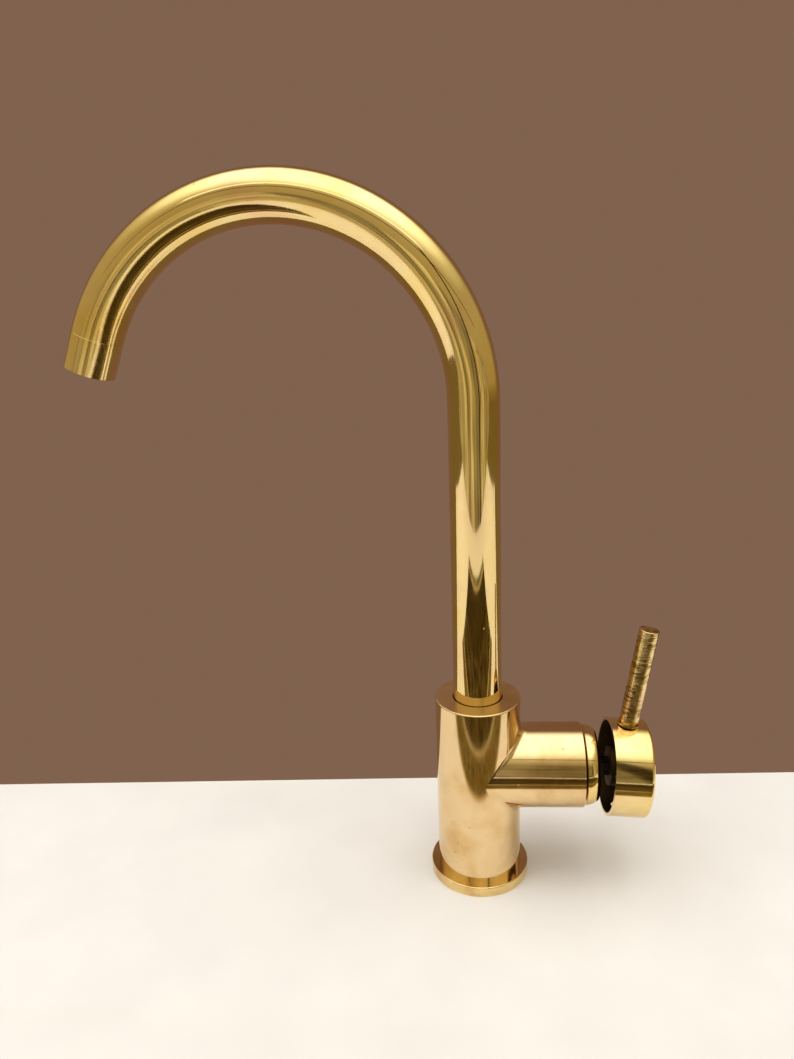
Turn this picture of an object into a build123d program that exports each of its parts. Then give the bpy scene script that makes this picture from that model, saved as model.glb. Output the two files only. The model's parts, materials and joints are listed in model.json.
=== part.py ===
"""Single-lever deck faucet with a swivelling gooseneck spout, a side lever and a hidden aerator.

Millimetres, +Z up. The origin is the centre of the base flange where it meets the deck. The side arm and
its handle point along +X. The spout points along -X, turned by spout_rest_angle about +Z.
"""

import math
import os

from build123d import *

# ---- clearances ---------------------------------------------------------------------------------------
running = 0.05          # a turning or sliding piece in its bore
loose = 0.1             # a piece that drops into its seat
brazed = 0.05           # the film between two brazed pieces
seam = 0.2              # bevel that marks the joint between spout and aerator housing
overrun = 5             # how far a cutting tool runs past the face it cuts

# ---- deck flange --------------------------------------------------------------------------------------
flange_width = 4.0      # how far it stands out from the body
flange_ledge = 1.1      # how far it reaches in past the body's wall
flange_thickness = 5.4
flange_edge = 0.5
spigot_depth = 3.0      # the body's spigot stands this deep in the flange
base_seal_width = 2.8
base_seal_height = 1.5
base_seal_inset = 3.1   # from the flange's edge to the middle of the seal

# ---- body and side arm --------------------------------------------------------------------------------
body_radius = 22.1
body_height = 103.3
body_wall = 3.5
body_edge = 0.7
arm_drop = 40.4         # from the body's top down to the arm's axis
arm_wall = 3.4          # round the clamp nut
arm_reach = 2.8         # from the lever's pivot out to the arm's end
arm_chamfer = 1.4
arm_blend = 3.5
spigot_wall = 1.6
cavity_drop = 26.9      # from the arm's axis down to the hollow that the hoses come up into
chamber_floor_wall = 5.4    # between that hollow's side and the cartridge
tube_play = 0.5         # the open gap round the tube in the body's top
lip_height = 1.9

# ---- deck-side holes, in the roof of the hollow -------------------------------------------------------
port_radius = 4.5       # M10 x 1 hose thread, at its tapping size
port_depth = 12.0
port_x = 4.0
port_y = 8.5
stud_radius = 3.4       # M8 stud thread, at its tapping size
stud_depth = 12.0
stud_x = -10.0
passage_radius = 3.4
outlet_riser_x = -6.0

# ---- spout --------------------------------------------------------------------------------------------
tube_radius = 12.5
tube_wall = 1.2
bend_radius = 95.1
bend_height = 255.1
bend_angle = 158.0
spout_rest_angle = -4.7
tube_drop = 10.1        # from the body's top down to the tube's foot
collar_height = 1.6
washer_thickness = 1.0
slide_ring_wall = 1.3
slide_ring_length = 7.2
nipple_step = 1.8       # how much thinner the nipple is than the tube, in radius
nipple_wall = 1.2       # left under the grooves
nipple_length = 15.0
nipple_insert = 11.8
retaining_groove_width = 3.0
retaining_groove_drop = 5.2     # this drop and the next three are measured from the tube's foot
upper_o_ring_drop = 9.8
lower_o_ring_drop = 14.0
seal_bore_drop = 17.2
o_ring_section = 1.4
o_ring_play = 0.2
spout_screw_radius = 2.1
spout_screw_dog_radius = 1.3
spout_screw_sink = 0.35         # how deep the screw's end lies in the body

# ---- aerator ------------------------------------------------------------------------------------------
aerator_length = 18.0
aerator_wall = 1.25
aerator_lip = 1.4
aerator_lip_width = 0.95
tip_nipple_wall = 1.8
tip_nipple_reach = 8.0
tip_nipple_root_angle = 4.0
gasket_thickness = 1.2
insert_wall = 1.4
grid_thickness = 1.4
grid_rings = 3
grid_rim = 1.95         # from the outermost holes' centres to the insert's wall
screen_thickness = 0.6
regulator_thickness = 2.2
screen_web = 1.4        # the three webs are what is left between neighbouring holes
grid_web = 0.9
regulator_web = 0.4

# ---- cartridge, along the arm -------------------------------------------------------------------------
cartridge_base_thickness = 5.0
cartridge_radius = 17.4
inlet_y = 6.5
inlet_z = 5.0
outlet_z = -7.5
cartridge_port_radius = 3.2
port_seal_thickness = 1.6
port_seal_width = 1.7
peg_radius = 1.5
peg_length = 2.0
peg_y = 12.0
peg_z = -6.0
disc_thickness = 3.5
disc_port_radius = 2.6
moving_disc_room = 1.25     # between the moving disc and the housing, at the ends of its travel
pocket_depth = 2.0
pocket_half_width = 7.0
pocket_low = -8.0
pocket_high = 1.5
pocket_wall = 0.35
carrier_thickness = 4.6
carrier_gap = 0.4
rail_height = 1.6
rail_width = 1.5
rail_y = 6.4
rail_half_length = 6.0
housing_wall = 2.5
housing_shoulder_thickness = 2.6
housing_neck_wall = 2.35
housing_neck_reach = 2.2    # each neck's or rotor's reach is measured from the arm's end
housing_seal_section = 1.2
seal_room = 0.5
rotor_radius = 10.0
rotor_reach = 2.7
rotor_flange_gap = 1.5
rotor_flange_thickness = 2.2
rotor_end_play = 0.2

# ---- lever stem ---------------------------------------------------------------------------------------
pivot_pin_radius = 1.5
stem_side = 7.0
stem_root = 3.0         # the square part reaches this far inside the pivot
stem_end_gap = 0.5      # from the stem's end to the floor of its socket
stem_arm = 12.5         # from the pivot to the ball that moves the disc
stem_arm_radius = 1.8
ball_radius = 2.4
ball_seat = 3.5         # from the moving disc's back to the middle of the ball
slot_play = 0.5         # round the stem in the rotor's slot
lift_travel = 25.0      # from shut to full flow, in degrees
rest_lift = 3.8         # how far off its shut stop the lever stands

# ---- clamp nut and bonnet -----------------------------------------------------------------------------
nut_step = 1.0          # how much wider the nut is than the cartridge, in radius
nut_inset = 1.0         # from the arm's end in to the nut's face
nut_neck_wall = 2.9
nut_neck_reach = 3.6
nut_slot_width = 3.0
nut_slot_depth = 2.0
bonnet_step = 1.2       # how much thinner the bonnet is than the arm, in radius
bonnet_length = 6.2
bonnet_lip = 1.7
bonnet_lip_step = 0.25
bonnet_taper = 2.1
bonnet_bulge = 0.35
bonnet_front_wall = 2.0
bonnet_opening = 1.0    # round the housing's neck
bonnet_seal_section = 1.2
bonnet_seal_reach = 2.0

# ---- handle -------------------------------------------------------------------------------------------
knob_gap = 6.0          # between the bonnet and the knob
knob_room = 2.7         # between the bonnet's edge and the knob's wall, in radius
knob_length = 19.5
knob_wall = 1.75
knob_end_wall = 3.0
knob_edge = 1.6
boss_radius = 10.0
boss_inset = 1.0        # from the knob's open end in to the boss
socket_floor = 6.5      # from the socket's floor out to the knob's closed end
lever_inset = 8.9       # from the knob's open end to the lever's axis
lever_lean = 5.3
lever_radius = 5.0
lever_length = 51.3
lever_edge = 0.4
lever_collar_radius = 5.5
lever_collar_height = 1.3
lever_groove_radius = 4.2
lever_groove_width = 0.8
lever_neck_radius = 3.9
lever_stud_radius = 3.0
lever_stud_gap = 1.5    # from the stud's end to the stem
handle_screw_inset = 7.5    # from the knob's open end to the screw's axis
handle_screw_radius = 2.1
handle_screw_sink = 0.45    # how deep the screw's end lies in the boss
hex_key_radius = 1.4
hex_key_depth = 2.5


# ---- worked-out places: body and spout ----------------------------------------------------------------
cavity_radius = body_radius - body_wall
flange_radius = body_radius + flange_width
flange_hole_radius = cavity_radius - flange_ledge
base_seal_radius = flange_radius - base_seal_inset
spigot_radius = cavity_radius + spigot_wall
spigot_bottom = flange_thickness - spigot_depth
arm_height = body_height - arm_drop
cavity_top = arm_height - cavity_drop
tube_bottom = body_height - tube_drop
tube_bore_radius = tube_radius - tube_wall
spout_hole_radius = tube_radius + tube_play
body_shoulder = tube_bottom - collar_height - washer_thickness
slide_bore_radius = tube_radius + loose + slide_ring_wall + loose
nipple_radius = tube_radius - nipple_step
seal_bore_radius = nipple_radius + loose
seal_bore_floor = tube_bottom - seal_bore_drop
groove_radius = seal_bore_radius - o_ring_section - o_ring_play
nipple_bore_radius = groove_radius - nipple_wall
retaining_groove_height = tube_bottom - retaining_groove_drop
o_ring_heights = (tube_bottom - upper_o_ring_drop, tube_bottom - lower_o_ring_drop)
spout_screw_start = seal_bore_radius + running
spout_screw_length = body_radius - spout_screw_sink - spout_screw_start
housing_inner_radius = tube_radius - aerator_wall
aerator_mouth_radius = housing_inner_radius - aerator_lip_width
hole_pitch = (housing_inner_radius - loose - insert_wall - grid_rim) / grid_rings

# ---- worked-out places: cartridge, along the arm ------------------------------------------------------
chamber_floor = cavity_radius + chamber_floor_wall
chamber_radius = cartridge_radius + 2 * loose
fixed_disc_x = chamber_floor + cartridge_base_thickness
moving_disc_x = fixed_disc_x + disc_thickness
carrier_x = moving_disc_x + disc_thickness
rotor_x = carrier_x + carrier_thickness + carrier_gap
housing_roof = rotor_x + rotor_flange_thickness + rotor_end_play
housing_shoulder = housing_roof + housing_shoulder_thickness
pivot_x = carrier_x + ball_seat + stem_arm
arm_end = pivot_x + arm_reach
housing_neck_end = arm_end + housing_neck_reach
rotor_end = arm_end + rotor_reach
ball_rise = stem_arm * math.sin(math.radians(rest_lift))
disc_half_travel = stem_arm * math.sin(math.radians(lift_travel)) / 2
disc_offset = ball_rise - disc_half_travel
housing_bore_radius = cartridge_radius - housing_wall
fixed_disc_radius = housing_bore_radius - housing_seal_section - seal_room
moving_disc_radius = housing_bore_radius - disc_half_travel - moving_disc_room
rotor_flange_radius = housing_bore_radius - rotor_flange_gap
neck_bore_radius = rotor_radius + running
housing_neck_radius = neck_bore_radius + housing_neck_wall
ports = [(inlet_y, inlet_z), (-inlet_y, inlet_z), (0, outlet_z)]

# ---- worked-out places: nut, bonnet and handle --------------------------------------------------------
nut_radius = cartridge_radius + nut_step
nut_end = arm_end - nut_inset
nut_neck_radius = housing_neck_radius + loose + nut_neck_wall
nut_neck_end = arm_end + nut_neck_reach
arm_radius = nut_radius + loose + arm_wall
bonnet_radius = arm_radius - bonnet_step
bonnet_end = arm_end + bonnet_length
bonnet_end_radius = bonnet_radius - bonnet_taper
bonnet_seal_x = arm_end + bonnet_seal_reach
knob_bore_radius = bonnet_radius + knob_room
knob_radius = knob_bore_radius + knob_wall
knob_start = bonnet_end + knob_gap
knob_end = knob_start + knob_length
boss_start = knob_start + boss_inset
socket_end = knob_end - socket_floor
stem_end = socket_end - stem_end_gap
lever_x = knob_start + lever_inset
lever_start = lever_collar_height + lever_groove_width
lever_stud_end = stem_side / 2 + lever_stud_gap
handle_screw_x = knob_start + handle_screw_inset
handle_screw_length = boss_radius - handle_screw_sink - stem_side / 2 - running
arm_axis = Pos(0, 0, arm_height) * Rot(0, 90, 0)


# ---- building blocks ----------------------------------------------------------------------------------
def turned(points):
    """A solid turned about +Z from its half section, given as (radius, height) points."""
    section = Plane.XZ * make_face(Polyline(*points, close=True))
    return revolve(section, Axis.Z, 360)


def ring(inner, outer, low, high):
    """A plain ring about +Z."""
    return turned([(inner, low), (outer, low), (outer, high), (inner, high)])


def rod(radius, low, high, x=0, y=0):
    """A plain round rod along +Z."""
    return Pos(x, y, (low + high) / 2) * Cylinder(radius, high - low)


def block(x_range, y_range, z_range):
    """A box between three pairs of limits."""
    low, high = zip(x_range, y_range, z_range)
    size = [b - a for a, b in zip(low, high)]
    return Pos(*[(a + b) / 2 for a, b in zip(low, high)]) * Box(*size)


def o_ring(inner, section, height):
    """A rubber ring of round section about +Z, with its inner radius given."""
    return Pos(0, 0, height) * Torus(inner + section / 2, section / 2)


def on_arm(shape):
    """Lays a shape that is built about +Z along the arm, so that its height becomes x."""
    return arm_axis * shape


def arm_rod(radius, start, end, y=0, z=0):
    """A round rod along the arm, at y and z from the arm's own axis."""
    return on_arm(rod(radius, start, end, x=-z, y=y))


def from_arm_axis(shape):
    """Lifts a shape that is built round the X axis up to the arm."""
    return Pos(0, 0, arm_height) * shape


def lifted(shape):
    """Turns a shape of the handle, built in its shut place, to where the lever stands at rest."""
    pivot = Pos(pivot_x, 0, arm_height)
    return pivot * Rot(0, rest_lift, 0) * pivot.inverse() * shape


def swivelled(shape):
    """Turns a shape of the spout, built in the XZ plane, to the spout's rest direction."""
    return Rot(0, 0, spout_rest_angle) * shape


def bent_ring(inner, outer, start_angle, end_angle):
    """A piece of pipe round the gooseneck's bend, between two angles from where the bend starts."""
    section = Plane.XY.offset(bend_height) * (Circle(outer) - Circle(inner))
    bend_axis = Axis((-bend_radius, 0, bend_height), (0, -1, 0))
    swept = revolve(section, bend_axis, end_angle - start_angle)
    centre = Pos(-bend_radius, 0, bend_height)
    return centre * Rot(0, -start_angle, 0) * centre.inverse() * swept


def at_tip(shape):
    """Sets a shape that is built about +Z on the spout's end, so that its height runs towards the mouth."""
    turn = math.radians(bend_angle)
    x = -bend_radius * (1 - math.cos(turn))
    z = bend_height + bend_radius * math.sin(turn)
    return swivelled(Pos(x, 0, z) * Rot(0, -bend_angle, 0) * shape)


def hole_pattern(web, low, high, rings):
    """Straight holes about +Z, a web apart: one in the middle and rings of 6, 12 and 18 round it."""
    radius = (hole_pitch - web) / 2
    holes = [rod(radius, low, high)]
    for index in range(1, rings + 1):
        count = 6 * index
        for step in range(count):
            turn = 2 * math.pi * step / count
            reach = hole_pitch * index
            holes.append(rod(radius, low, high, reach * math.cos(turn), reach * math.sin(turn)))
    return Part() + holes


def grub_screw(radius, length):
    """A headless screw along +Z, from 0 to its length, with a hexagon socket in its upper end."""
    socket = extrude(Pos(0, 0, length - hex_key_depth) * RegularPolygon(hex_key_radius, 6), hex_key_depth)
    return rod(radius, 0, length) - socket


# ---- deck flange --------------------------------------------------------------------------------------
def base_flange():
    """The turned ring under the body, stepped for the body's spigot and grooved for the deck seal."""
    seat = spigot_radius + loose
    seat_floor = spigot_bottom - loose
    outline = [
        (flange_hole_radius, 0),
        (flange_radius, 0),
        (flange_radius, flange_thickness),
        (seat, flange_thickness),
        (seat, seat_floor),
        (flange_hole_radius, seat_floor),
    ]
    flange = turned(outline)
    rim = flange.edges().filter_by(GeomType.CIRCLE).group_by(SortBy.RADIUS)[-1].sort_by(Axis.Z)[-1]
    flange = fillet(rim, flange_edge)
    groove = ring(
        base_seal_radius - base_seal_width / 2, base_seal_radius + base_seal_width / 2, 0, base_seal_height
    )
    return flange - groove


def base_seal():
    """The flat rubber ring in the flange's underside."""
    half = base_seal_width / 2 - loose
    return ring(base_seal_radius - half, base_seal_radius + half, 0, base_seal_height - loose / 2)


# ---- body ---------------------------------------------------------------------------------------------
def body_outside():
    """The upright cylinder and the side arm, blended where they meet."""
    upright = rod(body_radius, flange_thickness, body_height)
    arm = arm_rod(arm_radius, 0, arm_end)
    shell = upright + arm
    crease = [
        edge
        for edge in shell.edges()
        if edge.geom_type not in (GeomType.CIRCLE, GeomType.LINE)
        and edge.center().X < arm_end - arm_radius
    ]
    shell = fillet(crease, arm_blend)
    mouth = shell.edges().filter_by(GeomType.CIRCLE).sort_by(Axis.X)[-1]
    shell = chamfer(mouth, arm_chamfer)
    top_rim = shell.edges().filter_by(GeomType.CIRCLE).sort_by(Axis.Z)[-1]
    return fillet(top_rim, body_edge)


def waterways():
    """The drilled passages between the deck-side holes, the cartridge and the spout."""
    cuts = []
    for side in (1, -1):
        x, y = port_x, side * port_y
        cuts.append(rod(port_radius, cavity_top - overrun, cavity_top + port_depth, x, y))
        cuts.append(rod(passage_radius, cavity_top, arm_height + inlet_z, x, y))
        cuts.append(arm_rod(cartridge_port_radius, x, chamber_floor + overrun, side * inlet_y, inlet_z))
    cuts.append(arm_rod(cartridge_port_radius, outlet_riser_x, chamber_floor + overrun, 0, outlet_z))
    cuts.append(rod(passage_radius, arm_height + outlet_z, seal_bore_floor + 1, outlet_riser_x))
    cuts.append(rod(stud_radius, cavity_top - overrun, cavity_top + stud_depth, stud_x))
    return Part() + cuts


def spout_socket():
    """The stepped bore in the top of the body: seal bore, washer shoulder, slide ring seat and lip."""
    outline = [
        (0, seal_bore_floor),
        (seal_bore_radius, seal_bore_floor),
        (seal_bore_radius, body_shoulder),
        (slide_bore_radius, body_shoulder),
        (slide_bore_radius, body_height - lip_height),
        (spout_hole_radius, body_height - lip_height),
        (spout_hole_radius, body_height + overrun),
        (0, body_height + overrun),
    ]
    return turned(outline)


def cartridge_chamber():
    """The bore along the arm for the cartridge, opened for the clamp nut, with two peg holes."""
    outline = [
        (0, chamber_floor),
        (chamber_radius, chamber_floor),
        (chamber_radius, housing_shoulder),
        (nut_radius + loose, housing_shoulder),
        (nut_radius + loose, arm_end + overrun),
        (0, arm_end + overrun),
    ]
    chamber = on_arm(turned(outline))
    peg_start = chamber_floor - peg_length - loose
    for side in (1, -1):
        chamber += arm_rod(peg_radius + loose, peg_start, chamber_floor + 1, side * peg_y, peg_z)
    return chamber


def body():
    """The cast and drilled body."""
    spigot = ring(cavity_radius, spigot_radius, spigot_bottom, flange_thickness)
    shape = body_outside() + spigot
    shape -= rod(cavity_radius, 0, cavity_top)
    shape -= cartridge_chamber()
    shape -= spout_socket()
    shape -= waterways()
    screw_hole = rod(spout_screw_radius, groove_radius, body_radius + overrun)
    return shape - Pos(0, 0, retaining_groove_height) * Rot(-90, 0, 0) * screw_hole


def spout_set_screw():
    """The dog-point screw behind the body that keeps the spout in."""
    dog = rod(spout_screw_dog_radius, groove_radius + loose, spout_screw_start)
    shank = Pos(0, 0, spout_screw_start) * grub_screw(spout_screw_radius - running, spout_screw_length)
    return Pos(0, 0, retaining_groove_height) * Rot(-90, 0, 0) * (dog + shank)


def spout_thrust_washer():
    """The plastic washer that the spout's collar turns on."""
    top = body_shoulder + washer_thickness - running
    return ring(nipple_radius + loose, slide_bore_radius - loose, body_shoulder, top)


def spout_slide_ring():
    """The dark plastic ring that guides the tube in the top of the body."""
    inner = tube_radius + running
    top = body_height - lip_height - loose
    return ring(inner, inner + slide_ring_wall, top - slide_ring_length, top)


# ---- spout --------------------------------------------------------------------------------------------
def spout_tube():
    """The gooseneck: a straight length of pipe and its bend, which ends at the aerator."""
    upright = ring(tube_bore_radius, tube_radius, tube_bottom, bend_height)
    bend = bent_ring(tube_bore_radius, tube_radius, 0, bend_angle)
    return swivelled(upright + bend)


def spout_nipple():
    """The turned piece brazed into the foot of the tube, with its collar and three grooves."""
    collar_bottom = tube_bottom - collar_height
    insert = tube_bore_radius - brazed
    outline = [
        (nipple_bore_radius, collar_bottom - nipple_length),
        (nipple_radius, collar_bottom - nipple_length),
        (nipple_radius, collar_bottom),
        (tube_radius, collar_bottom),
        (tube_radius, tube_bottom),
        (insert, tube_bottom),
        (insert, tube_bottom + nipple_insert),
        (nipple_bore_radius, tube_bottom + nipple_insert),
    ]
    shape = turned(outline)
    grooves = [(retaining_groove_height, retaining_groove_width)]
    grooves += [(height, o_ring_section + 4 * loose) for height in o_ring_heights]
    for height, width in grooves:
        shape -= ring(groove_radius, nipple_radius + 1, height - width / 2, height + width / 2)
    return shape


def spout_o_ring(height):
    """One of the two rubber rings that seal the spout in the body."""
    return o_ring(groove_radius + running / 2, o_ring_section, height)


# ---- aerator ------------------------------------------------------------------------------------------
def tip_nipple():
    """The threaded ring brazed into the end of the tube."""
    outer = tube_bore_radius - brazed
    inner = outer - tip_nipple_wall
    root = swivelled(bent_ring(inner, outer, bend_angle - tip_nipple_root_angle, bend_angle))
    reach = at_tip(ring(inner, housing_inner_radius - running, 0, tip_nipple_reach))
    return root + reach


def aerator_housing():
    """The collar that screws on the spout's end, flush with the tube, with a lip at the mouth."""
    mouth = aerator_length - aerator_lip
    outline = [
        (housing_inner_radius, 0),
        (tube_radius - seam, 0),
        (tube_radius, seam),
        (tube_radius, aerator_length - seam),
        (tube_radius - seam, aerator_length),
        (aerator_mouth_radius, aerator_length),
        (aerator_mouth_radius, mouth),
        (housing_inner_radius, mouth),
    ]
    return at_tip(turned(outline))


def aerator_gasket():
    """The washer between the threaded ring and the aerator insert."""
    inner = tube_bore_radius - tip_nipple_wall
    outer = housing_inner_radius - loose
    return at_tip(ring(inner, outer, tip_nipple_reach, tip_nipple_reach + gasket_thickness))


def insert_limits():
    """Where the aerator insert starts and ends, from the spout's end."""
    return tip_nipple_reach + gasket_thickness, aerator_length - aerator_lip


def aerator_insert():
    """The plastic cup with a perforated floor that mixes air into the water."""
    start, end = insert_limits()
    outer = housing_inner_radius - loose
    wall = ring(outer - insert_wall, outer, start, end)
    floor = rod(outer - insert_wall, end - grid_thickness, end)
    cup = wall + floor - hole_pattern(grid_web, start, end + 1, grid_rings)
    return at_tip(cup)


def aerator_disc(thickness, web, rings, height):
    """A perforated disc inside the aerator insert."""
    radius = housing_inner_radius - loose - insert_wall - loose
    disc = rod(radius, height, height + thickness)
    return at_tip(disc - hole_pattern(web, height - 1, height + thickness + 1, rings))


def flow_regulator():
    """The disc that rests on the insert's floor and limits the flow."""
    floor = insert_limits()[1] - grid_thickness
    return aerator_disc(regulator_thickness, regulator_web, grid_rings - 1, floor - regulator_thickness)


def aerator_screen():
    """The strainer that lies on the flow regulator."""
    floor = insert_limits()[1] - grid_thickness - regulator_thickness
    return aerator_disc(screen_thickness, screen_web, grid_rings, floor - screen_thickness)


# ---- cartridge ----------------------------------------------------------------------------------------
def cartridge_base():
    """The plastic floor of the cartridge, with its three ports, seal grooves and locating pegs."""
    shape = arm_rod(cartridge_radius, chamber_floor, fixed_disc_x)
    groove_radius_out = cartridge_port_radius + port_seal_width + loose
    for y, z in ports:
        shape -= arm_rod(groove_radius_out, chamber_floor, chamber_floor + port_seal_thickness, y, z)
        shape -= arm_rod(disc_port_radius, chamber_floor, fixed_disc_x, y, z)
    for side in (1, -1):
        shape += arm_rod(peg_radius, chamber_floor - peg_length, chamber_floor, side * peg_y, peg_z)
    return shape


def cartridge_port_seals():
    """Three rubber rings, one round each port, that seal the cartridge to the body."""
    seals = []
    for y, z in ports:
        end = chamber_floor + port_seal_thickness - running
        outer = arm_rod(cartridge_port_radius + port_seal_width, chamber_floor, end, y, z)
        seals.append(outer - arm_rod(cartridge_port_radius, chamber_floor - 1, end + 1, y, z))
    return Compound(children=[seal.solid() for seal in seals])


def cartridge_housing():
    """The cup over the discs, with the neck that the rotor turns in."""
    outline = [
        (housing_bore_radius, fixed_disc_x),
        (cartridge_radius, fixed_disc_x),
        (cartridge_radius, housing_shoulder),
        (housing_neck_radius, housing_shoulder),
        (housing_neck_radius, housing_neck_end),
        (neck_bore_radius, housing_neck_end),
        (neck_bore_radius, housing_roof),
        (housing_bore_radius, housing_roof),
    ]
    return on_arm(turned(outline))


def cartridge_seal():
    """The rubber ring that keeps water inside the housing, round the fixed disc."""
    inner = fixed_disc_radius + loose
    return on_arm(o_ring(inner, housing_seal_section, fixed_disc_x + housing_seal_section / 2 + loose))


def fixed_disc():
    """The ceramic disc that stays still, with three holes."""
    shape = arm_rod(fixed_disc_radius, fixed_disc_x, moving_disc_x)
    for y, z in ports:
        shape -= arm_rod(disc_port_radius, fixed_disc_x - 1, moving_disc_x + 1, y, z)
    return shape


def moving_disc():
    """The ceramic disc that slides and turns on the fixed one, with a pocket that joins the ports."""
    shape = arm_rod(moving_disc_radius, moving_disc_x, carrier_x, 0, disc_offset)
    pocket = block(
        (moving_disc_x - 1, moving_disc_x + pocket_depth),
        (-pocket_half_width, pocket_half_width),
        (disc_offset + pocket_low, disc_offset + pocket_high),
    )
    inside = arm_rod(moving_disc_radius - pocket_wall, moving_disc_x - 1, carrier_x, 0, disc_offset)
    return shape - (from_arm_axis(pocket) & inside)


def disc_carrier():
    """The plastic plate that the stem's ball pushes, with two rails that slide in the rotor."""
    end = carrier_x + carrier_thickness
    shape = arm_rod(moving_disc_radius, carrier_x, end, 0, disc_offset)
    half = ball_radius + 2 * loose
    floor = pivot_x - stem_arm - half
    shape -= from_arm_axis(block((floor, end + 1), (-half, half), (ball_rise - half, ball_rise + half)))
    for side in (1, -1):
        middle = side * rail_y
        rail = block(
            (end - 1, end + carrier_gap + rail_height),
            (middle - rail_width / 2, middle + rail_width / 2),
            (disc_offset - rail_half_length, disc_offset + rail_half_length),
        )
        shape += from_arm_axis(rail)
    return shape


def cartridge_rotor():
    """The turret that turns in the housing's neck, slotted for the stem and the carrier's rails."""
    outline = [
        (0, rotor_x),
        (rotor_flange_radius, rotor_x),
        (rotor_flange_radius, rotor_x + rotor_flange_thickness),
        (rotor_radius, rotor_x + rotor_flange_thickness),
        (rotor_radius, rotor_end),
        (0, rotor_end),
    ]
    shape = on_arm(turned(outline))
    tilt = math.radians(lift_travel)
    half = stem_side / 2
    side = half + slot_play
    inner_rise = stem_arm * math.sin(tilt) + stem_arm_radius / math.cos(tilt) + slot_play
    outer_drop = (rotor_end - pivot_x) * math.tan(tilt) + half / math.cos(tilt) + slot_play
    inner_slot = block((rotor_x - 1, pivot_x), (-side, side), (-half - slot_play, inner_rise))
    outer_slot = block((pivot_x, rotor_end + 1), (-side, side), (-outer_drop, half + slot_play))
    shape -= from_arm_axis(inner_slot + outer_slot)
    for sign in (1, -1):
        middle = sign * rail_y
        reach = rail_width / 2 + running
        groove = block(
            (rotor_x - 1, rotor_x + rail_height + running),
            (middle - reach, middle + reach),
            (-rotor_flange_radius, rotor_flange_radius),
        )
        shape -= from_arm_axis(groove)
    return shape - pivot_rod(pivot_pin_radius + running / 2, rotor_radius + 1)


def pivot_rod(radius, half_length):
    """A round rod along Y through the lever's pivot."""
    return Pos(pivot_x, 0, arm_height) * Rot(90, 0, 0) * Cylinder(radius, 2 * half_length)


def pivot_pin():
    """The steel pin in the rotor that the stem tilts on."""
    return pivot_rod(pivot_pin_radius, rotor_radius - 4 * loose)


# ---- stem and handle, built shut and then lifted --------------------------------------------------------
def stem():
    """The metal lever of the cartridge: a square shank, and a thin arm that ends in a ball."""
    half = stem_side / 2
    root = pivot_x - stem_root
    ball_x = pivot_x - stem_arm
    shank = from_arm_axis(block((root, stem_end), (-half, half), (-half, half)))
    arm = arm_rod(stem_arm_radius, ball_x, root + 1)
    ball = Pos(ball_x, 0, arm_height) * Sphere(ball_radius)
    return lifted(shank + arm + ball - pivot_rod(pivot_pin_radius + running, stem_side))


def lever_frame(radius):
    """Where the lever's own axis crosses the given radius of the knob, with +Z along the lever."""
    shift = radius * math.tan(math.radians(lever_lean))
    start = knob_radius * math.tan(math.radians(lever_lean))
    return Pos(lever_x + shift - start, 0, arm_height + radius) * Rot(0, lever_lean, 0)


def handle_knob():
    """The round cap over the cartridge, with a boss inside for the stem and a flat seat for the lever."""
    inner_end = knob_end - knob_end_wall
    cap = arm_rod(knob_radius, knob_start, knob_end)
    rim = cap.edges().filter_by(GeomType.CIRCLE).sort_by(Axis.X)[-1]
    cap = fillet(rim, knob_edge)
    cap -= arm_rod(knob_bore_radius, knob_start - 1, inner_end)
    cap += arm_rod(boss_radius, boss_start, inner_end + 1)
    half = stem_side / 2 + running
    cap -= from_arm_axis(block((boss_start - 1, socket_end), (-half, half), (-half, half)))
    wall_frame = lever_frame(knob_radius)
    cap -= wall_frame * rod(lever_collar_radius + loose, 0, overrun)
    cap -= wall_frame * rod(lever_neck_radius + loose, -2 * knob_wall, overrun)
    cap -= wall_frame * rod(lever_stud_radius + running / 2, lever_stud_end - knob_radius - loose, 0)
    screw_frame = Pos(handle_screw_x, 0, arm_height) * Rot(180, 0, 0)
    cap -= screw_frame * rod(handle_screw_radius, 0, knob_radius + 1)
    cap -= screw_frame * rod(handle_screw_radius + 5 * loose, boss_radius, knob_radius + 1)
    return lifted(cap)


def lever():
    """The round lever, the collar that it stands on, and the stud that screws into the knob's boss."""
    bar = rod(lever_radius, lever_start, lever_start + lever_length)
    ends = bar.edges().filter_by(GeomType.CIRCLE)
    bar = fillet(ends, lever_edge)
    groove_floor = rod(lever_groove_radius, running, lever_start + 1)
    collar = rod(lever_collar_radius, running, lever_collar_height)
    neck = rod(lever_neck_radius, -knob_wall, lever_start)
    stud = rod(lever_stud_radius, lever_stud_end - knob_radius, 0)
    return lifted(lever_frame(knob_radius) * (bar + groove_floor + collar + neck + stud))


def handle_set_screw():
    """The screw under the knob that pins it to the stem."""
    frame = Pos(handle_screw_x, 0, arm_height) * Rot(180, 0, 0) * Pos(0, 0, stem_side / 2 + running)
    return lifted(frame * grub_screw(handle_screw_radius - running, handle_screw_length))


# ---- clamp nut and bonnet -----------------------------------------------------------------------------
def clamp_nut():
    """The nut that holds the cartridge in the arm, with a threaded neck for the bonnet and two slots."""
    bore = housing_neck_radius + loose
    outline = [
        (bore, housing_shoulder),
        (nut_radius, housing_shoulder),
        (nut_radius, nut_end),
        (nut_neck_radius, nut_end),
        (nut_neck_radius, nut_neck_end),
        (bore, nut_neck_end),
    ]
    shape = on_arm(turned(outline))
    slot = block(
        (nut_neck_end - nut_slot_depth, nut_neck_end + 1),
        (-nut_neck_radius - 1, nut_neck_radius + 1),
        (-nut_slot_width / 2, nut_slot_width / 2),
    )
    return shape - from_arm_axis(slot)


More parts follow.
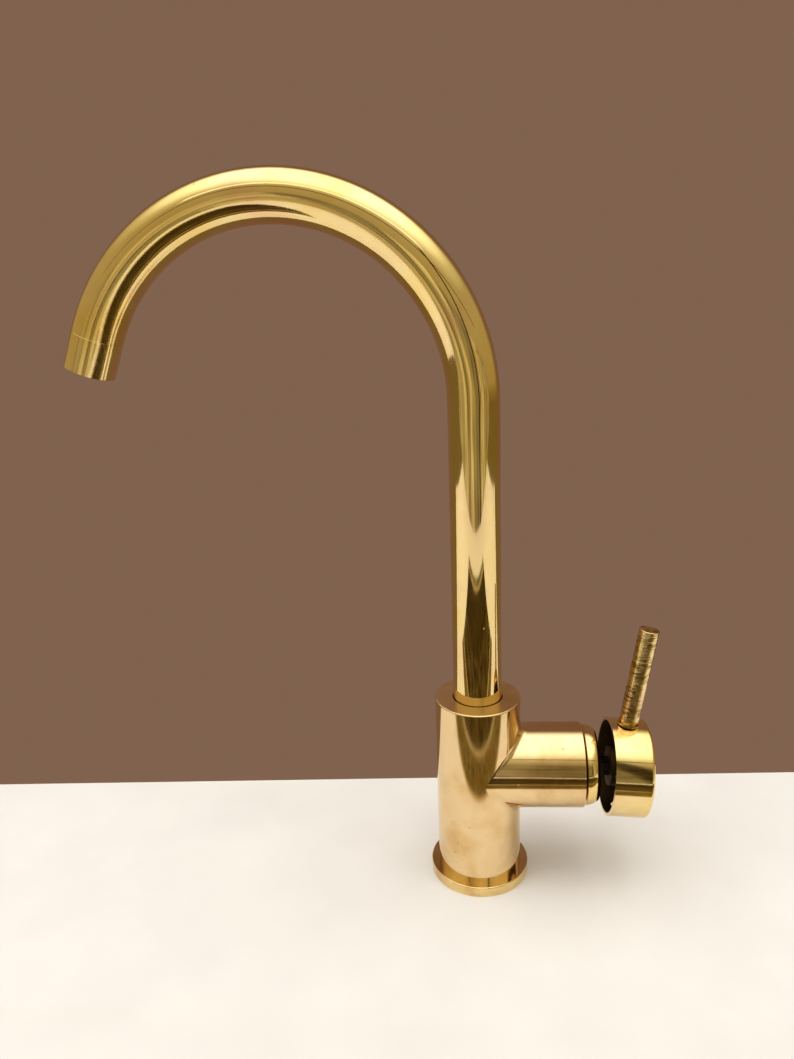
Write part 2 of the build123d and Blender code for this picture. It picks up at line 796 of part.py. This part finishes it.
def bonnet_groove():
    """Inner radius and half width of the seal groove in the bonnet."""
    return nut_neck_radius + loose + bonnet_seal_section, bonnet_seal_section / 2 + loose


def bonnet():
    """The turned cover between the arm and the knob, rounded so that the knob can tilt over it."""
    bore = nut_neck_radius + loose
    taper_start = arm_end + bonnet_lip
    middle = (taper_start + bonnet_end) / 2
    bulge = (bonnet_radius + bonnet_end_radius) / 2 + bonnet_bulge
    taper_radius = bonnet_radius - bonnet_lip_step
    opening = housing_neck_radius + bonnet_opening
    outer = Polyline((taper_radius, taper_start), (bonnet_radius, taper_start), (bonnet_radius, arm_end))
    curve = ThreePointArc((taper_radius, taper_start), (bulge, middle), (bonnet_end_radius, bonnet_end))
    inner = Polyline(
        (bonnet_end_radius, bonnet_end),
        (opening, bonnet_end),
        (opening, bonnet_end - bonnet_front_wall),
        (bore, bonnet_end - bonnet_front_wall),
        (bore, arm_end),
        (bonnet_radius, arm_end),
    )
    section = Plane.XZ * make_face(outer + curve + inner)
    shape = revolve(section, Axis.Z, 360)
    groove_radius_out, half = bonnet_groove()
    shape -= ring(bore, groove_radius_out, bonnet_seal_x - half, bonnet_seal_x + half)
    return on_arm(shape)


def bonnet_o_ring():
    """The rubber ring that grips the bonnet on the nut's neck."""
    return on_arm(o_ring(nut_neck_radius + running / 2, bonnet_seal_section, bonnet_seal_x))


nodes = {
    "base_flange": base_flange(),
    "base_seal": base_seal(),
    "body": body(),
    "spout_set_screw": spout_set_screw(),
    "spout_thrust_washer": spout_thrust_washer(),
    "spout_slide_ring": spout_slide_ring(),
    "spout_tube": spout_tube(),
    "spout_nipple": spout_nipple(),
    "spout_o_ring_upper": spout_o_ring(o_ring_heights[0]),
    "spout_o_ring_lower": spout_o_ring(o_ring_heights[1]),
    "tip_nipple": tip_nipple(),
    "aerator_housing": aerator_housing(),
    "aerator_gasket": aerator_gasket(),
    "aerator_insert": aerator_insert(),
    "aerator_screen": aerator_screen(),
    "flow_regulator": flow_regulator(),
    "cartridge_base": cartridge_base(),
    "cartridge_port_seals": cartridge_port_seals(),
    "cartridge_housing": cartridge_housing(),
    "cartridge_seal": cartridge_seal(),
    "fixed_disc": fixed_disc(),
    "moving_disc": moving_disc(),
    "disc_carrier": disc_carrier(),
    "cartridge_rotor": cartridge_rotor(),
    "pivot_pin": pivot_pin(),
    "stem": stem(),
    "clamp_nut": clamp_nut(),
    "bonnet": bonnet(),
    "bonnet_o_ring": bonnet_o_ring(),
    "handle_knob": handle_knob(),
    "lever": lever(),
    "handle_set_screw": handle_set_screw(),
}

os.makedirs("parts", exist_ok=True)
for name, shape in nodes.items():
    export_step(shape, f"parts/{name}.step")
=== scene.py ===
"""Looks for the single-lever gooseneck faucet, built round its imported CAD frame."""

import json
import math

import bpy
from mathutils import Matrix, Vector


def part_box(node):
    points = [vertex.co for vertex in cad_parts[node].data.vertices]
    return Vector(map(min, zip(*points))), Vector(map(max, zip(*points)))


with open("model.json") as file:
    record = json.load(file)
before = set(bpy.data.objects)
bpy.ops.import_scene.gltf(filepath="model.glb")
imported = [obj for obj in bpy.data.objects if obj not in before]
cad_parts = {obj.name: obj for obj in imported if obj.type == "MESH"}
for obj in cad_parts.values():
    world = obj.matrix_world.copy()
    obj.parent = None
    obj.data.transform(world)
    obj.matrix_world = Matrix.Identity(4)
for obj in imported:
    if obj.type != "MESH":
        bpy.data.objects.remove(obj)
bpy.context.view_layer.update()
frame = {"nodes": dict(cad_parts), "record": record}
nodes = frame["nodes"]

# ---- camera: the photograph's viewing angle -----------------------------------------------------------
CAMERA_PLACE = (-0.009657, -0.374734, 0.301129)
CAMERA_PITCH = 15.942   # degrees down
CAMERA_YAW = -4.382
CAMERA_ROLL = -2.368
CAMERA_LENS = 26.997    # mm, on a 36 mm long side

# ---- the handle, in metres, as the CAD has it ---------------------------------------------------------
KNOB_HOLLOW = 0.0234    # the radius of the knob's hollow
KNOB_FLOOR = 0.0316     # the floor of that hollow, out from the lever's pivot
joints = {joint["name"]: joint for joint in frame["record"]["behaviour"]["joints"]}
PIVOT = tuple(joints["flow_lift"]["pos_m"])
REST_TILT = math.radians(-joints["flow_lift"]["range_deg"][0])

# ---- the stage, in metres -----------------------------------------------------------------------------
BOARD_SIDE = 0.95       # left and right of the faucet
BOARD_FRONT = -0.68
BOARD_BACK = 0.083
BOARD_SKEW = 0.03       # how much nearer the back edge is at its left end, and farther at its right
BASIN_SIDE = 0.30       # what the brass reflects in front of it: a basin, then a striped wall
BASIN_START = -0.098
BASIN_HEIGHT = 0.0015
WALL_HEIGHT = 0.42
STRIPE_DARK = (0.62, 0.46, 0.20)
STRIPE_LIGHT = (1.25, 1.08, 0.62)
FAR_SIDE = 1.60         # how far the wall and the beam reach to each side


def camera_axes():
    """The camera's right, up and forward directions."""
    pitch, yaw, roll = (math.radians(a) for a in (CAMERA_PITCH, CAMERA_YAW, CAMERA_ROLL))
    forward = Vector((math.sin(yaw) * math.cos(pitch), math.cos(yaw) * math.cos(pitch), -math.sin(pitch)))
    level = Vector((math.cos(yaw), -math.sin(yaw), 0))
    top = level.cross(forward)
    right = math.cos(roll) * level + math.sin(roll) * top
    up = math.cos(roll) * top - math.sin(roll) * level
    return right, up, forward


def make_camera():
    data = bpy.data.cameras.new("camera")
    data.lens = CAMERA_LENS
    data.sensor_width = 36
    data.sensor_fit = "AUTO"
    data.clip_start = 0.01
    obj = bpy.data.objects.new("camera", data)
    bpy.context.collection.objects.link(obj)
    right, up, forward = camera_axes()
    turn = Matrix((right, up, -forward)).transposed()
    obj.matrix_world = Matrix.Translation(CAMERA_PLACE) @ turn.to_4x4()
    bpy.context.scene.camera = obj


# ---- node helpers -------------------------------------------------------------------------------------
class Nodes:
    """A node tree, with short ways to add to it."""

    def __init__(self, tree):
        self.tree = tree

    def add(self, kind, **settings):
        node = self.tree.nodes.new(kind)
        for key, value in settings.items():
            setattr(node, key, value)
        return node

    def link(self, source, target):
        self.tree.links.new(source, target)

    def set(self, socket, value):
        """Gives a socket another node's output, a number or a colour."""
        if isinstance(value, (int, float)):
            socket.default_value = value
        elif isinstance(value, tuple):
            socket.default_value = (*value, 1)
        else:
            self.link(value, socket)

    def place(self, stretch=(1, 1, 1)):
        """Object coordinates in metres, stretched."""
        coords = self.add("ShaderNodeTexCoord")
        mapping = self.add("ShaderNodeMapping")
        mapping.inputs["Scale"].default_value = stretch
        self.link(coords.outputs["Object"], mapping.inputs["Vector"])
        return mapping.outputs["Vector"]

    def axis_value(self, axis, turn_y=0.0, origin=(0, 0, 0)):
        """One object coordinate, in metres, measured from origin in axes turned about +Y."""
        coords = self.add("ShaderNodeTexCoord")
        mapping = self.add("ShaderNodeMapping", vector_type="TEXTURE")
        mapping.inputs["Location"].default_value = origin
        mapping.inputs["Rotation"].default_value = (0, turn_y, 0)
        self.link(coords.outputs["Object"], mapping.inputs["Vector"])
        split = self.add("ShaderNodeSeparateXYZ")
        self.link(mapping.outputs["Vector"], split.inputs["Vector"])
        return split.outputs[axis]

    def noise(self, scale, stretch=(1, 1, 1), detail=3.0, rough=0.5, warp=0.0):
        node = self.add("ShaderNodeTexNoise")
        node.inputs["Scale"].default_value = scale
        node.inputs["Detail"].default_value = detail
        node.inputs["Roughness"].default_value = rough
        node.inputs["Distortion"].default_value = warp
        self.link(self.place(stretch), node.inputs["Vector"])
        return node.outputs["Fac"]

    def ramp(self, source, stops):
        """A colour ramp through (position, colour) stops."""
        node = self.add("ShaderNodeValToRGB")
        ramp = node.color_ramp
        while len(ramp.elements) < len(stops):
            ramp.elements.new(0.5)
        for element, (position, colour) in zip(ramp.elements, stops):
            element.position = position
            element.color = (*colour, 1)
        self.link(source, node.inputs["Fac"])
        return node.outputs["Color"]

    def span(self, source, low, high, start=0.3, end=0.7):
        """Maps start..end of a value to low..high. Noise mostly lies between 0.3 and 0.7."""
        node = self.add("ShaderNodeMapRange")
        for key, value in zip(("From Min", "From Max", "To Min", "To Max"), (start, end, low, high)):
            node.inputs[key].default_value = value
        self.link(source, node.inputs["Value"])
        return node.outputs["Result"]

    def step(self, value, edge, width):
        """0 below the edge and 1 above it."""
        return self.span(value, 0, 1, edge - width / 2, edge + width / 2)

    def math(self, operation, *values):
        node = self.add("ShaderNodeMath", operation=operation)
        for socket, value in zip(node.inputs, values):
            self.set(socket, value)
        return node.outputs["Value"]

    def opposite(self, mask):
        return self.math("SUBTRACT", 1, mask)

    def mix(self, factor, a, b):
        """Blends two colours, or two values held as colours."""
        node = self.add("ShaderNodeMix", data_type="RGBA")
        self.link(factor, node.inputs["Factor"])
        self.set(node.inputs["A"], a)
        self.set(node.inputs["B"], b)
        return node.outputs["Result"]

    def bump(self, height, distance, below=None):
        """Raises the surface by up to distance, in metres, on top of the bump below."""
        node = self.add("ShaderNodeBump")
        node.inputs["Strength"].default_value = 1
        node.inputs["Distance"].default_value = distance
        self.link(height, node.inputs["Height"])
        if below is not None:
            self.link(below, node.inputs["Normal"])
        return node.outputs["Normal"]


class Material(Nodes):
    """A new material and its node tree."""

    def __init__(self, name):
        self.material = bpy.data.materials.new(name)
        self.material.use_nodes = True
        super().__init__(self.material.node_tree)
        self.shader = self.tree.nodes["Principled BSDF"]

    def connect(self, **sockets):
        """Connects outputs or values to the shader, and gives the material."""
        for name, value in sockets.items():
            self.set(self.shader.inputs[name.replace("_", " ")], value)
        return self.material


# ---- materials ----------------------------------------------------------------------------------------
YELLOW = (0.84, 0.60, 0.20)
PALE = (0.87, 0.68, 0.32)
ROSE = (0.82, 0.57, 0.30)
PINK = (0.84, 0.63, 0.35)
WORN = (0.34, 0.20, 0.055)
BROWNED = (0.70, 0.46, 0.20)
TARNISH = (0.50, 0.29, 0.09)
# Painted shade: the near-black colour of the knob's hollow, where shade falls.
HOLLOW_PAINTED_SHADE = (0.085, 0.052, 0.020)
# Painted shade: the stem's near-black colour stands for the dark inside of the knob.
STEM_PAINTED_SHADE = (0.045, 0.036, 0.030)


class Brass(Material):
    """Hand-polished brass. The finish is built up as colour, roughness and bump, and then connected."""

    def __init__(self, name, streak, shine, wave=0.00008, scratch=0.000004,
                 tones=(YELLOW, PALE, ROSE), patch=28):
        super().__init__(name)
        patches = self.noise(patch, detail=4, warp=0.4)
        self.colour = self.ramp(patches, list(zip((0.32, 0.52, 0.70), tones)))
        marks = self.noise(1, stretch=streak, detail=4, rough=0.6)
        haze = self.noise(40, detail=2)
        low, high = shine
        self.rough = self.math("ADD", self.span(marks, 0, high - low), self.span(haze, low, low + 0.02))
        slow = self.bump(self.noise(30, detail=1, rough=0.3), wave)
        self.normal = self.bump(marks, scratch, slow)

    def pits(self, scale, amount):
        """Small dark casting pits that the polish has not reached."""
        cells = self.add("ShaderNodeTexVoronoi")
        cells.inputs["Scale"].default_value = scale
        self.link(self.place(), cells.inputs["Vector"])
        few = self.noise(scale * 0.45, detail=1)
        near = self.span(cells.outputs["Distance"], 1, 0, 0.05, 0.11)
        here = self.math("MULTIPLY", near, self.step(few, amount, 0.02))
        self.colour = self.mix(here, self.colour, TARNISH)
        self.normal = self.bump(self.opposite(here), 0.00012, self.normal)

    def where(self, mask, colour=None, rough=None):
        """Gives another colour or roughness to where the mask is 1."""
        if colour is not None:
            self.colour = self.mix(mask, self.colour, colour)
        if rough is not None:
            self.rough = self.mix(mask, self.rough, (rough,) * 3)

    def finish(self):
        return self.connect(Metallic=1, Base_Color=self.colour, Roughness=self.rough, Normal=self.normal)


# How far the marks of a finish are stretched: many to the metre across them, and few along them.
ALONG_Z = (900, 900, 14)
ALONG_X = (14, 900, 900)


def tube_brass():
    """The gooseneck: bright, with long draw marks that show most towards the spout's end."""
    n = Brass("brass_tube", ALONG_Z, (0.03, 0.06), wave=0.00006)
    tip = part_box("spout_tube")[0][0]
    near_tip = n.span(n.axis_value("X"), 1, 0, tip, tip + 0.07)
    lines = n.noise(1, stretch=(1100, 1100, 60), detail=3)
    n.rough = n.math("ADD", n.rough, n.math("MULTIPLY", near_tip, n.span(lines, 0, 0.14)))
    n.pits(190, 0.66)
    return n.finish()


def body_brass():
    """The casting: softer, hazier and pinker than the tube, with a turned satin face on top."""
    tones = (BROWNED, PINK, ROSE)
    n = Brass("brass_body", (260, 260, 60), (0.06, 0.12), wave=0.00014, tones=tones, patch=42)
    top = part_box("body")[1][2]
    top_face = n.step(n.axis_value("Z"), top - 0.0004, 0.0004)
    n.where(top_face, rough=0.30)
    n.pits(230, 0.62)
    return n.finish()


def flange_brass():
    """Turned, and a little browner than the tube."""
    n = Brass("brass_flange", (300, 300, 900), (0.06, 0.12), tones=(BROWNED, PALE, ROSE), patch=60)
    n.pits(330, 0.60)
    return n.finish()


def knob_brass():
    """Polished outside. Inside it is left rough, as it was cast, and painted nearly black: painted shade
    for the dark hollow.
    """
    n = Brass("brass_knob", ALONG_X, (0.05, 0.10))
    n.pits(260, 0.64)
    x, y, z = (n.axis_value(axis, REST_TILT, PIVOT) for axis in "XYZ")
    radius = n.math("SQRT", n.math("ADD", n.math("MULTIPLY", y, y), n.math("MULTIPLY", z, z)))
    within = n.opposite(n.step(radius, KNOB_HOLLOW + 0.0003, 0.0002))
    above_floor = n.opposite(n.step(x, KNOB_FLOOR, 0.0002))
    # Painted shade: the hollow's inner wall and floor are coloured nearly black, and made rough.
    n.where(n.math("MULTIPLY", within, above_floor), colour=HOLLOW_PAINTED_SHADE, rough=0.55)
    return n.finish()


def lever_brass():
    """Less polished than the rest, with dark worn patches and file marks across it."""
    n = Brass("brass_lever", (150, 150, 1100), (0.08, 0.20), wave=0.00010, scratch=0.00014)
    across = n.noise(1, stretch=(160, 160, 900), detail=3)
    worn = n.math("MULTIPLY", n.step(across, 0.50, 0.14), n.step(n.noise(130, detail=2), 0.46, 0.16))
    n.where(worn, colour=WORN)
    return n.finish()


def plain_brass(name, streak, shine):
    return Brass(name, streak, shine).finish()


def turned_metal(name, dark, light, patch, streak, shine):
    """Metal with fine tool marks, left as it came off the lathe."""
    n = Material(name)
    colour = n.ramp(n.noise(patch), [(0.3, dark), (0.7, light)])
    marks = n.noise(1, stretch=streak, detail=3)
    normal = n.bump(marks, 0.00002)
    return n.connect(Metallic=1, Base_Color=colour, Roughness=n.span(marks, *shine), Normal=normal)


def turned_brass():
    return turned_metal("turned_brass_fine", (0.62, 0.43, 0.18), (0.74, 0.53, 0.24), 60,
                        (3000, 400, 3000), (0.22, 0.38))


def steel(name, dark, light):
    return turned_metal(name, dark, light, 90, (200, 2600, 2600), (0.20, 0.34))


def moulded(name, dark, light, rough, grain):
    """Plastic, rubber or ceramic: two close colours, a fine grain and uneven gloss."""
    n = Material(name)
    colour = n.ramp(n.noise(120), [(0.3, dark), (0.7, light)])
    gloss = n.span(n.noise(500), rough - 0.05, rough + 0.08)
    normal = n.bump(n.noise(2500, detail=2), grain)
    return n.connect(Base_Color=colour, Roughness=gloss, Normal=normal)


def dress():
    """Gives each CAD node its material: its own if it shows, or else the one of its slot."""
    by_node = {
        "spout_tube": tube_brass(),
        "body": body_brass(),
        "base_flange": flange_brass(),
        "bonnet": plain_brass("brass_bonnet", ALONG_X, (0.05, 0.10)),
        "aerator_housing": plain_brass("brass_aerator", ALONG_Z, (0.06, 0.14)),
        "handle_knob": knob_brass(),
        "lever": lever_brass(),
        # The stem is painted nearly black: painted shade, for the dark inside of the knob.
        "stem": steel("steel_painted_shade", STEM_PAINTED_SHADE, (0.075, 0.060, 0.050)),
    }
    by_slot = {
        "turned_brass": turned_brass(),
        "steel": steel("stainless_steel", (0.46, 0.46, 0.47), (0.60, 0.60, 0.60)),
        "black_rubber": moulded("black_rubber_grain", (0.010,) * 3, (0.022,) * 3, 0.62, 0.00003),
        "black_plastic": moulded("black_plastic_grain", (0.012, 0.012, 0.013), (0.024, 0.024, 0.026),
                                 0.42, 0.00002),
        "pale_plastic": moulded("pale_plastic_grain", (0.58, 0.58, 0.54), (0.68, 0.68, 0.63),
                                0.40, 0.00002),
        "ceramic": moulded("ceramic_lapped", (0.80, 0.79, 0.76), (0.86, 0.85, 0.82), 0.18, 0.000004),
    }
    for part in frame["record"]["subparts"]:
        name = part["node"]
        material = by_node.get(name) or by_slot[part["material_slot"]]
        for slot in nodes[name].material_slots:
            slot.material = material


# ---- stage and light ----------------------------------------------------------------------------------
def card(name, corners, material):
    """A flat four-cornered piece of the stage."""
    mesh = bpy.data.meshes.new(name)
    mesh.from_pydata(corners, [], [(0, 1, 2, 3)])
    mesh.materials.append(material)
    obj = bpy.data.objects.new(name, mesh)
    bpy.context.collection.objects.link(obj)
    return obj


def board():
    """The pale board that the faucet stands on."""
    n = Material("board_paint")
    paint = n.ramp(n.noise(18, detail=4), [(0.3, (0.71, 0.70, 0.73)), (0.7, (0.76, 0.75, 0.78))])
    front = [(-BOARD_SIDE, BOARD_FRONT, 0), (BOARD_SIDE, BOARD_FRONT, 0)]
    back = [(BOARD_SIDE, BOARD_BACK + BOARD_SKEW, 0), (-BOARD_SIDE, BOARD_BACK - BOARD_SKEW, 0)]
    card("board", front + back, n.connect(Base_Color=paint, Roughness=0.6))


def reflected_card(name, corners, dark, light, mottle):
    """A glowing card that only shows in the brass's reflections."""
    n = Material(name + "_paint")
    glow = n.ramp(n.noise(mottle, detail=3), [(0.35, dark), (0.65, light)])
    paint = n.connect(Emission_Color=glow, Emission_Strength=1, Base_Color=(0, 0, 0), Specular_IOR_Level=0)
    obj = card(name, corners, paint)
    obj.visible_camera = False
    obj.visible_diffuse = False
    obj.visible_shadow = False
    obj.visible_transmission = False


def basin():
    """Level cards: a dark brass basin in front of the board, seen in the tube, the body and the arm."""
    bands = [
        ("basin_edge", -0.103, (0.60, 0.46, 0.20), (0.72, 0.56, 0.26), 14),
        ("basin_rim", -0.150, (0.10, 0.062, 0.016), (0.26, 0.18, 0.050), 90),
        ("basin_line", -0.157, (0.60, 0.48, 0.24), (0.70, 0.56, 0.28), 14),
        ("basin_near", -0.280, (0.040, 0.024, 0.006), (0.130, 0.088, 0.026), 30),
        ("basin_far", -0.450, (0.035, 0.020, 0.005), (0.080, 0.050, 0.013), 30),
        ("far_edge", -0.463, (0.60, 0.45, 0.18), (0.72, 0.56, 0.26), 14),
        ("far_shade", -0.492, (0.10, 0.065, 0.018), (0.20, 0.14, 0.045), 14),
    ]
    near = BASIN_START
    for name, far, dark, light, mottle in bands:
        across = ((-BASIN_SIDE, near), (BASIN_SIDE, near), (BASIN_SIDE, far), (-BASIN_SIDE, far))
        reflected_card(name, [(x, y, BASIN_HEIGHT) for x, y in across], dark, light, mottle)
        near = far


def upright(name, left, right, y, top, dark, light, bottom=0.002):
    """A reflected card that stands across the stage."""
    corners = [(left, y, bottom), (right, y, bottom), (right, y, top), (left, y, top)]
    reflected_card(name, corners, dark, light, 9)


def far_side():
    """Upright cards: a striped wall beyond the board, a post, and a beam under a lamp."""
    edges = [-FAR_SIDE, -0.62, -0.36, -0.20, -0.05, 0.09, 0.24, 0.40, 0.62, FAR_SIDE]
    tones = [0.42, 0.60, 0.30, 0.66, 0.34, 0.26, 0.36, 0.62, 0.40]
    for count, (left, right, tone) in enumerate(zip(edges, edges[1:], tones)):
        dark, light = (tuple(tone * part for part in colour) for colour in (STRIPE_DARK, STRIPE_LIGHT))
        upright(f"wall_stripe_{count}", left, right, BOARD_FRONT, WALL_HEIGHT, dark, light)
    upright("beam", -FAR_SIDE, FAR_SIDE, -0.90, 0.88, (0.030, 0.018, 0.006), (0.060, 0.038, 0.014), 0.84)
    upright("lamp", -0.9, 0.5, -0.80, 1.15, (1.5, 1.4, 1.1), (1.7, 1.6, 1.3), 1.02)
    upright("dark_post", 0.245, 0.300, -0.66, 0.80, (0.020, 0.012, 0.004), (0.050, 0.030, 0.010))


def softbox(name, place, target, size, power, colour):
    """A soft lamp aimed at the target. It lights the board, and isn't seen in the brass."""
    data = bpy.data.lights.new(name, "AREA")
    data.shape = "RECTANGLE"
    data.size, data.size_y = size
    data.energy = power
    data.color = colour
    obj = bpy.data.objects.new(name, data)
    bpy.context.collection.objects.link(obj)
    obj.location = place
    obj.rotation_euler = (Vector(target) - Vector(place)).to_track_quat("-Z", "Y").to_euler()
    obj.visible_camera = False
    obj.visible_glossy = False


def room():
    """Brown behind the faucet. In front, olive near the horizon and paler towards the ceiling."""
    world = bpy.data.worlds.new("room")
    bpy.context.scene.world = world
    world.use_nodes = True
    n = Nodes(world.node_tree)
    background = n.tree.nodes["Background"]
    coords = n.add("ShaderNodeTexCoord")
    direction = n.add("ShaderNodeSeparateXYZ")
    n.link(coords.outputs["Generated"], direction.inputs["Vector"])
    in_front = n.ramp(n.span(direction.outputs["Z"], 0, 1, -1, 1), [
        (0.30, (0.098, 0.071, 0.024)),
        (0.45, (0.098, 0.068, 0.024)),
        (0.50, (0.205, 0.160, 0.074)),
        (0.75, (0.240, 0.192, 0.095)),
        (0.82, (0.360, 0.330, 0.210)),
        (0.89, (0.750, 0.720, 0.600)),
        (0.94, (1.000, 0.970, 0.880)),
    ])
    behind = n.ramp(direction.outputs["Y"], [(0.34, (0, 0, 0)), (0.62, (1, 1, 1))])
    n.link(n.mix(behind, in_front, (0.108, 0.062, 0.039)), background.inputs["Color"])
    background.inputs["Strength"].default_value = 2.0


def light():
    softbox("key_left", (-0.80, -0.35, 0.60), (-0.05, 0, 0.16), (0.45, 0.9), 2.0, (1, 0.99, 0.95))
    softbox("key_right", (0.75, -0.35, 0.60), (0, 0, 0.15), (0.30, 0.9), 1.4, (1, 0.99, 0.95))
    softbox("top", (-0.05, -0.10, 1.1), (-0.05, 0, 0.1), (0.9, 0.55), 2.4, (1, 0.99, 0.96))


make_camera()
dress()
board()
basin()
far_side()
room()
light()
bpy.context.scene.view_settings.view_transform = "Standard"
